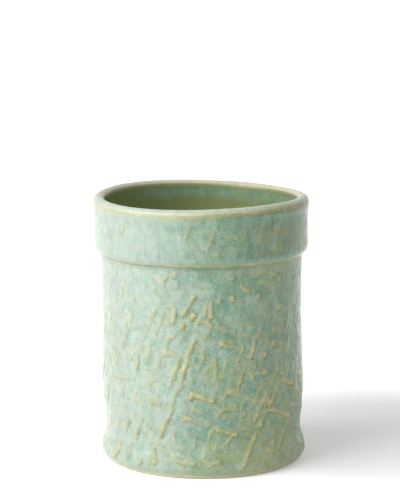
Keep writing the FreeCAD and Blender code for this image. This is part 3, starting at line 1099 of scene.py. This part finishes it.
class CUP_OT_cup_floor(bpy.types.Operator):
    """Make the floor, glazed above and bare below"""

    bl_idname = "cup.cup_floor"
    bl_label = "Floor"

    def execute(self, context):
        run = seam_loop("floor_disc")
        run = run[np.argsort(run[:, 1])]
        section = np.array(((0, run[0][1]), *run, (0, run[-1][1])))
        section = respaced(section, lambda radius, height: FLOOR_STEP, closed=False)
        disc = Turned(section, FLOOR_SEGMENTS, closed=False)
        top = disc.height > FLOOR_TOP - TOUCH
        clear_of_coil = 1 - smooth_step(disc.radius, 26 * MM, 29 * MM)
        lump = context.scene.cup_clay.lump * cloud(disc.places(), 12 * MM, 2)
        disc.height = disc.height + np.where(top, lump * clear_of_coil, 0)
        disc.marks = {"pool": 0.5 * top * clear_of_coil, "inside": 1.0, "bare": ~top}
        return set_piece("cup_floor", disc, "floor_disc", context)


class CUP_OT_corner_coil(bpy.types.Operator):
    """Make the pressed coil in the corner between floor and wall"""

    bl_idname = "cup.corner_coil"
    bl_label = "Corner coil"

    def execute(self, context):
        loop = anticlockwise(seam_loop("corner_coil"))
        coil = Turned(respaced(loop, lambda radius, height: COIL_STEP), COIL_SEGMENTS)
        bore = loop[:, 0].max()
        free = (coil.radius < bore - 0.05 * MM) & (coil.height > FLOOR_TOP + 0.05 * MM)
        coil.raise_by(np.where(free, 0.3 * MM * cloud(coil.places(), 8 * MM), 0))
        coil.marks = {"pool": 0.3 * free, "inside": 1.0}
        return set_piece("corner_coil_pressed", coil, "corner_coil", context)


class CUP_OT_stage(bpy.types.Operator):
    """Set the floor, the light and the camera"""

    bl_idname = "cup.stage"
    bl_label = "Stage"

    def execute(self, context):
        stage = context.scene.cup_stage
        context.scene.view_settings.view_transform = "Standard"
        self.make_floor(context, stage)
        self.make_world(context, stage)
        self.make_panel(context, stage)
        self.make_camera(context, stage)
        return {"FINISHED"}

    def make_floor(self, context, stage):
        mesh = bpy.data.meshes.new("studio_floor")
        corners = [(x * FLOOR_REACH, y * FLOOR_REACH, 0) for x, y in ((-1, -1), (1, -1), (1, 1), (-1, 1))]
        mesh.from_pydata(corners, [], [(0, 1, 2, 3)])
        paint = Glaze("white_floor")
        darkest = (stage.shade_aside, stage.shade_behind, 0)
        away = add_node(paint.tree, "VectorMath", {0: paint.place, 1: darkest}, operation="DISTANCE")
        glow = paint.graded(away["Value"], *SHADE_REACH, stage.near_glow, 1.0)
        paint.set_shader({
            "Base Color": (0.9, 0.9, 0.9, 1),
            "Roughness": 0.9,
            "Specular IOR Level": 0.0,
            "Emission Color": (1, 1, 1, 1),
            "Emission Strength": paint.times(seen_ray(paint.tree), glow),
        })
        mesh.materials.append(paint.material)
        floor = add_object("studio_floor", mesh, context)

    def make_world(self, context, stage):
        world = bpy.data.worlds.new("studio")
        context.scene.world = world
        world.use_nodes = True
        tree = world.node_tree
        background = tree.nodes["Background"]
        background.inputs["Color"].default_value = (1, 1, 1, 1)
        inputs = {"Value": seen_ray(tree), "To Min": stage.fill, "To Max": 1.0}
        plug(tree, background.inputs["Strength"], add_node(tree, "MapRange", inputs)["Result"])

    def make_panel(self, context, stage):
        light = bpy.data.lights.new("soft_panel", "AREA")
        light.shape = "RECTANGLE"
        light.size = stage.panel_width
        light.size_y = stage.panel_height
        light.energy = stage.panel_power
        panel = add_object("soft_panel", light, context)
        level = stage.panel_distance * math.cos(stage.panel_rise)
        panel.location = (
            -level * math.sin(stage.panel_turn),
            -level * math.cos(stage.panel_turn),
            CUP_HEIGHT / 2 + stage.panel_distance * math.sin(stage.panel_rise))
        panel.rotation_euler = (math.pi / 2 - stage.panel_rise, 0, -stage.panel_turn)

    def make_camera(self, context, stage):
        data = bpy.data.cameras.new("camera")
        data.lens = stage.lens
        data.sensor_width = SENSOR_MM
        camera = add_object("camera", data, context)
        camera.location = (stage.camera_aside, -stage.camera_distance, stage.camera_height)
        camera.rotation_euler = (math.pi / 2 - stage.camera_dip, 0, 0)
        context.scene.camera = camera


def seen_ray(tree):
    """1 for rays that show a thing itself: from the camera, and sent on by gloss or glass."""
    path = add_node(tree, "LightPath", {})
    total = path["Is Camera Ray"]
    for name in ("Is Glossy Ray", "Is Transmission Ray"):
        total = add_node(tree, "Math", {0: total, 1: path[name]}, operation="MAXIMUM")["Value"]
    return total


class CUP_PT_panel(bpy.types.Panel):
    """Steps that make the cup"""

    bl_idname = "CUP_PT_panel"
    bl_label = "Toothbrush holder"
    bl_space_type = "VIEW_3D"
    bl_region_type = "UI"
    bl_category = "Cup"

    def draw(self, context):
        for operator in OPERATORS:
            self.layout.operator(operator.bl_idname)
        for group in SETTINGS:
            values = getattr(context.scene, group)
            for name in values.__annotations__:
                self.layout.prop(values, name)


OPERATORS = (
    CUP_OT_textured_wall,
    CUP_OT_collar_band,
    CUP_OT_cup_floor,
    CUP_OT_corner_coil,
    CUP_OT_stage,
)
SETTINGS = {"cup_clay": ClaySettings, "cup_glaze": GlazeSettings, "cup_stage": StageSettings}
CLASSES = (*SETTINGS.values(), *OPERATORS, CUP_PT_panel)


def register():
    for cls in CLASSES:
        bpy.utils.register_class(cls)
    for name, group in SETTINGS.items():
        setattr(bpy.types.Scene, name, PointerProperty(type=group))


def unregister():
    for name in SETTINGS:
        delattr(bpy.types.Scene, name)
    for cls in reversed(CLASSES):
        bpy.utils.unregister_class(cls)


def main():
    register()
    bpy.ops.cup.textured_wall()
    bpy.ops.cup.collar_band()
    bpy.ops.cup.cup_floor()
    bpy.ops.cup.corner_coil()
    bpy.ops.cup.stage()


if __name__ == "__main__":
    main()
